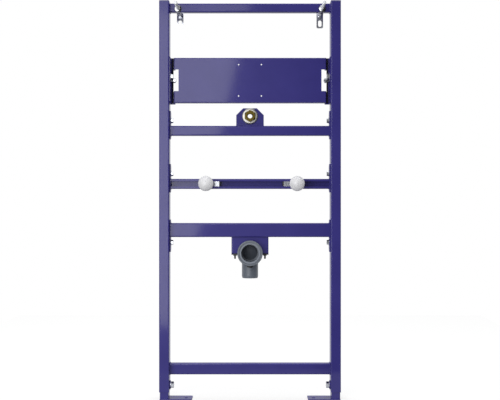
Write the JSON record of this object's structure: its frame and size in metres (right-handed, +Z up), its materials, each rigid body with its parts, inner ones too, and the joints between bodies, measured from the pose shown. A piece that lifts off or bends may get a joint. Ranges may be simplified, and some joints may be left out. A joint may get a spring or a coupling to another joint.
{
  "type": "urinal installation frame",
  "caption": "Upright tube frame with telescopic legs, crossbars, control panel, water inlet, sliding fixing studs and waste elbow for hanging a urinal in front of a wall.",
  "frame": {"origin": "underside of the left foot plate, below the left post's axis", "axes": "+X to the right post, +Y back to the wall, +Z up"},
  "size_m": [0.546, 0.195, 1.2],
  "materials": {
    "frame_paint": "glossy blue-violet powder coat",
    "cap_plastic": "satin moulded",
    "zinc": "zinc plated",
    "brass": "machined, dull",
    "collar_plate": "satin nickel plate",
    "guard_plastic": "white moulded",
    "waste_plastic": "grey pipe plastic",
    "seal_rubber": "matt grey",
    "black_steel": "stoved black enamel"
  },
  "bodies": {
    "left_leg": {"left_leg": "frame_paint", "left_foot_plate": "frame_paint"},
    "frame": {"top_crossbar": "frame_paint", "bottom_crossbar": "frame_paint", "inlet_crossbar": "frame_paint", "drain_crossbar": "frame_paint", "fixing_rail": "frame_paint", "inlet_flanges": "frame_paint", "rail_flanges": "frame_paint", "drain_flanges": "frame_paint", "control_panel": "frame_paint", "inlet_bracket": "frame_paint", "drain_bracket": "frame_paint", "leg_clamp_bosses": "frame_paint", "left_post": "frame_paint", "left_panel_bracket": "frame_paint", "right_post": "frame_paint", "right_panel_bracket": "frame_paint", "left_post_cap": "cap_plastic", "right_post_cap": "cap_plastic", "left_wall_rod": "zinc", "left_wall_strap": "zinc", "right_wall_rod": "zinc", "right_wall_strap": "zinc", "anchor_nuts": "zinc", "inlet_fitting": "brass", "drain_elbow": "waste_plastic", "drain_seal": "seal_rubber", "inlet_collar": "collar_plate", "pipe_clamp": "black_steel"},
    "right_leg": {"right_leg": "frame_paint", "right_foot_plate": "frame_paint"},
    "left_stud": {"left_slide_plate": "zinc", "left_stud": "zinc", "left_stud_cap": "guard_plastic"},
    "right_stud": {"right_slide_plate": "zinc", "right_stud": "zinc", "right_stud_cap": "guard_plastic"}
  },
  "joints": [
    {"name": "left_leg_slide", "type": "slide", "parent": "left_leg", "child": "frame", "axis": [0, 0, 1], "range_m": [-0.012, 0.188]},
    {"name": "right_leg_slide", "type": "slide", "parent": "frame", "child": "right_leg", "axis": [0, 0, -1], "range_m": [-0.012, 0.188]},
    {"name": "left_stud_slide", "type": "slide", "parent": "frame", "child": "left_stud", "axis": [-1, 0, 0], "range_m": [-0.0866, 0.0684]},
    {"name": "right_stud_slide", "type": "slide", "parent": "frame", "child": "right_stud", "axis": [1, 0, 0], "range_m": [-0.0952, 0.0598]}
  ]
}
